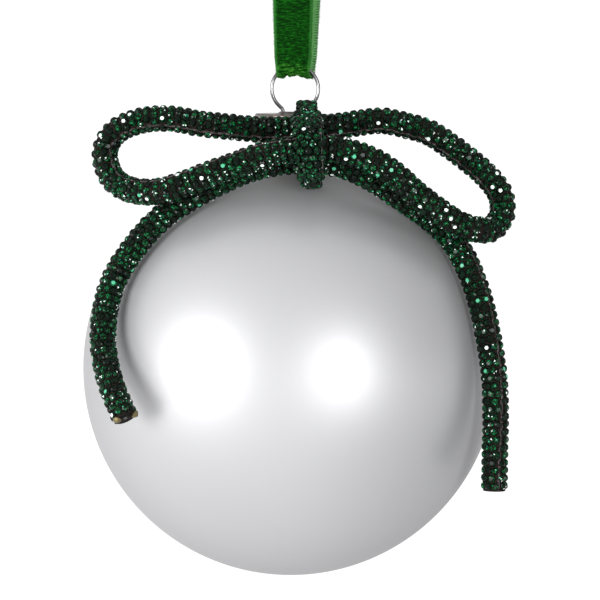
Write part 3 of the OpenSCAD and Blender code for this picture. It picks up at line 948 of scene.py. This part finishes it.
def make_ribbon(pile, back, fuzz):
    """One velvet ribbon: pile on the outside of the loop, woven back inside it."""
    route = spline(ribbon_route(), 0.45)
    heads = headings([Vector((0, p.y, p.z)) for p in route])
    columns = 28
    rng = random.Random(5)
    waves = [(rng.uniform(0.5, 1.3), rng.uniform(0, 6.3), rng.uniform(0.3, 1)) for _ in range(4)]
    sections = [ribbon_section(p, head, waves) for p, head in zip(route, heads)]
    shares = [k / columns * 2 - 1 for k in range(columns + 1)]
    verts, faces, kinds, across, painted_fold_highlight = [], [], [], [], []
    for at, p in zip(sections, route):
        verts += [at(u * side, side) for side in (1, -1) for u in shares]
        across += [abs(u) for side in (1, -1) for u in shares]
        # the pile gets a painted highlight over the fold, and along a crease across it
        crease = 0.7 * math.exp(-((p.z - FOLD_Z - 2.6) / 0.3) ** 2)
        near_fold = 1 - smooth_step(FOLD_Z - 1, FOLD_Z + 4, p.z)
        painted_fold_highlight += [min(1, max(crease, near_fold))] * (2 * len(shares))
    loop_points = 2 * (columns + 1)
    for i in range(len(route) - 1):
        a, b = i * loop_points, (i + 1) * loop_points
        for k in range(loop_points):
            m = (k + 1) % loop_points
            faces.append((a + k, a + m, b + m, b + k))
            kinds.append(0 if k <= columns else 1)
    last = (len(route) - 1) * loop_points
    for k in range(columns):
        m = loop_points - 1 - k
        faces.append((k, m, m - 1, k + 1))
        faces.append((last + k, last + k + 1, last + m - 1, last + m))
        kinds += [1, 1]
    piece = make_piece("ribbon", verts, faces, [pile, back], None, face_material=kinds)
    for name, values in (("across", across), ("painted_fold_highlight", painted_fold_highlight)):
        piece.data.attributes.new(name, "FLOAT", "POINT").data.foreach_set("value", values)
    fringe = make_fuzz(sections, heads, fuzz, rng)
    for part in (piece, fringe):
        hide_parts("ribbon_loop", "ribbon_fold")
        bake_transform(part)


def make_fuzz(sections, heads, material, rng):
    """Short loose pile along both edges and over the bottom of the fold, as thin spikes."""
    verts, faces = [], []
    edge_tufts, fold_tufts = 5, 22  # for each row of the ribbon's mesh
    for i in range(len(sections) - 1):
        here, head = sections[i], heads[i]
        out = Vector((0, -head.z, head.y))
        spots = [(s, rng.uniform(0.1, 0.9)) for s in (-1, 1) for _ in range(edge_tufts)]
        if abs(head.y) > 0.35 and here(0, 1).z < HINGE_Z:
            spots += [(rng.uniform(-0.97, 0.97), 1.0) for _ in range(fold_tufts)]
        for u, side in spots:
            root = here(u, side) + head * rng.uniform(0, 0.45)
            lean = Vector((rng.gauss(0, 0.3), rng.gauss(0, 0.3), rng.gauss(0, 0.3)))
            way = (out * (0.9 if abs(u) < 1 else 0.35) + Vector((u if abs(u) == 1 else 0, 0, 0)) + lean)
            tip = root + way.normalized() * rng.uniform(0.18, 0.42)
            a = squared(head, way.normalized()) * 0.05
            b = way.normalized().cross(a)
            n = len(verts)
            verts += [root + a, root - a * 0.5 + b * 0.87, root - a * 0.5 - b * 0.87, tip]
            faces += [(n, n + 1, n + 3), (n + 1, n + 2, n + 3), (n + 2, n, n + 3), (n + 2, n + 1, n)]
    return make_piece("ribbon_fuzz", verts, faces, [material], None)


def make_stitches(material):
    """Two rows of short stitches that close the lap."""
    verts, faces = [], []
    lap_x = 1.1  # sideways middle of the lap
    for row in range(2):
        z = HANG_Z - RIBBON_GAP - 9 - row * (LAP_L - 6)
        y = strand_at(z) + RIBBON_T + 0.02
        for i in range(4):
            x = lap_x + (i - 1.5) * RIBBON_W / 5
            path = [Vector((x + 0.75 * t, y + 0.16 * (1 - t * t) + 0.02, z + 0.1 * math.sin(9 * x)))
                    for t in (-1, -0.6, -0.2, 0.2, 0.6, 1)]
            more, more_faces = sweep(path, circle_outline(0.18, 8),
                                     sides_along(headings(path), (0, 0, 1)))
            faces += [tuple(v + len(verts) for v in f) for f in more_faces]
            verts += more
    piece = make_piece("stitches", verts, faces, [material], "ribbon")
    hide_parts("ribbon_stitches")


# ---- studio ----

def add_area(name, azimuth, elevation, distance, width, height, power):
    """A soft box aimed at the ball. Azimuth 0 is the camera's side, and 90 is +X."""
    a, e = math.radians(azimuth), math.radians(elevation)
    centre = Vector((0, 0, -HANG_Z * MM))
    away = Vector((math.sin(a) * math.cos(e), -math.cos(a) * math.cos(e), math.sin(e)))
    light = bpy.data.lights.new(name, "AREA")
    light.shape = "RECTANGLE"
    light.size, light.size_y = width, height
    light.energy = power
    lamp = bpy.data.objects.new(name, light)
    bpy.context.scene.collection.objects.link(lamp)
    lamp.location = centre + away * distance
    lamp.rotation_mode = "QUATERNION"
    lamp.rotation_quaternion = away.to_track_quat("Z", "Y")
    lamp.visible_camera = False


def make_backdrop():
    """A pale studio all round: white at the horizon, greyer to the right and high up behind."""
    world = bpy.data.worlds.new("studio")
    bpy.context.scene.world = world
    world.use_nodes = True
    nodes, links = world.node_tree.nodes, world.node_tree.links
    coord = nodes.new("ShaderNodeTexCoord")
    direction = nodes.new("ShaderNodeSeparateXYZ")
    links.new(coord.outputs["Generated"], direction.inputs["Vector"])
    lifted = nodes.new("ShaderNodeMath")
    lifted.operation = "MULTIPLY_ADD"
    lifted.inputs[1].default_value = -0.6
    links.new(direction.outputs["Z"], lifted.inputs[0])
    links.new(direction.outputs["X"], lifted.inputs[2])
    sideways = nodes.new("ShaderNodeMapRange")
    sideways.inputs["From Min"].default_value = -1
    links.new(lifted.outputs["Value"], sideways.inputs["Value"])
    sky = add_ramp(nodes, links, sideways.outputs["Result"], [
        (0.0, (1.0, 1.0, 1.0)), (0.6, (0.76, 0.76, 0.76)), (1.0, (0.3, 0.3, 0.3))])
    behind = nodes.new("ShaderNodeVectorMath")
    behind.operation = "DOT_PRODUCT"
    behind.inputs[1].default_value = (0, 0.7, 0.7)
    links.new(coord.outputs["Generated"], behind.inputs[0])
    shade = add_ramp(nodes, links, behind.outputs["Value"], [
        (0.6, (1.0, 1.0, 1.0)), (0.95, (0.5, 0.5, 0.5))])
    dimmed = add_mix(nodes, links, 1, sky, shade, "MULTIPLY")
    horizon = add_ramp(nodes, links, direction.outputs["Z"], [(0.02, (1, 1, 1)), (0.12, (0, 0, 0))])
    links.new(add_mix(nodes, links, horizon, dimmed, (1.02, 1.02, 1.02, 1)),
              nodes["Background"].inputs["Color"])


def make_studio():
    """Backdrop, two soft boxes, and a pale glowing floor that is greyer on the ball's right.

    Sizes here are metres.
    """
    make_backdrop()
    add_area("left_box", -49, 4, 1.2, 0.6, 0.5, 12.5)
    add_area("right_box", 28, 4, 1.2, 0.38, 0.5, 7.5)
    material, nodes, links, shader = new_material("floor")
    shader.inputs["Base Color"].default_value = (0.3, 0.3, 0.3, 1)
    shader.inputs["Roughness"].default_value = 0.9
    shader.inputs["Specular IOR Level"].default_value = 0
    coord = nodes.new("ShaderNodeTexCoord")
    place_of = nodes.new("ShaderNodeSeparateXYZ")
    links.new(coord.outputs["Object"], place_of.inputs["Vector"])
    sideways = nodes.new("ShaderNodeMapRange")
    sideways.inputs["From Min"].default_value = -0.3
    sideways.inputs["From Max"].default_value = 0.3
    links.new(place_of.outputs["X"], sideways.inputs["Value"])
    near = add_ramp(nodes, links, sideways.outputs["Result"], [
        (0.0, (1.05, 1.05, 1.05)), (0.5, (0.82, 0.82, 0.82)), (1.0, (0.38, 0.38, 0.38))])
    ball_glow = nodes.new("ShaderNodeTexGradient")
    ball_glow.gradient_type = "SPHERICAL"
    links.new(coord.outputs["Object"], ball_glow.inputs["Vector"])
    fade = add_ramp(nodes, links, ball_glow.outputs["Fac"], [(0.0, (0, 0, 0)), (0.5, (1, 1, 1))])
    links.new(add_mix(nodes, links, fade, (0.9, 0.9, 0.9, 1), near), shader.inputs["Emission Color"])
    shader.inputs["Emission Strength"].default_value = 1
    mesh = bpy.data.meshes.new("floor")
    half, height = 60, -0.32
    mesh.from_pydata([(-half, -half, 0), (half, -half, 0), (half, half, 0), (-half, half, 0)],
                     [], [(0, 1, 2, 3)])
    mesh.materials.append(material)
    floor = bpy.data.objects.new("floor", mesh)
    floor.location.z = height
    bpy.context.scene.collection.objects.link(floor)
    bpy.context.scene.view_settings.view_transform = "Standard"


# ---- the ornament ----

make_camera()
make_studio()
net, stone = dark_net(), rhinestone()
seam = thread("seam_thread", (0.012, 0.009, 0.009), (0.2, 0.17, 0.17), 0.72)
make_ball(satin_silver())
make_cap(bright_metal("plated_cap", (0.2, 0.17, 0.155), 0.16, 1500))
make_hanger(bright_metal("plated_wire", (0.2, 0.2, 0.205), 0.14, 3000))
make_tie_wires(bright_metal("binding_wire", (0.25, 0.25, 0.26), 0.3, 3000))
filler = thread("black_filler", (0.0015, 0.0015, 0.0015), (0.006, 0.006, 0.006))
soft_wire = bright_metal("soft_wire", (0.12, 0.12, 0.12), 0.5, 3000)
for made in cord("loops", LOOPS, (0, 1, 0), (-2.0, -1.3), 11, (net, stone, seam)):
    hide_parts("bow_loops")
for made in cord("tails", TAILS, (0, 0, 1), (-2.7, -0.75), 12, (net, stone, seam)):
    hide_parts("bow_tails")
cord_core("loops", LOOPS, (0, 1, 0), filler, soft_wire, ("loop_filler", "loop_core_wire"))
cord_core("tails", TAILS, (0, 0, 1), filler, soft_wire, ("tail_filler", "tail_core_wire"))
make_foil_backs(bright_metal("foil", (0.2, 0.165, 0.085), 0.3, 2500))
make_wrap(net, stone, seam)
make_ribbon(velvet_pile(), velvet_back(),
            thread("pile_fuzz", (0.01, 0.09, 0.01), (0.07, 0.26, 0.05)))
make_stitches(thread("green_thread", (0.002, 0.04, 0.006), (0.01, 0.09, 0.015)))
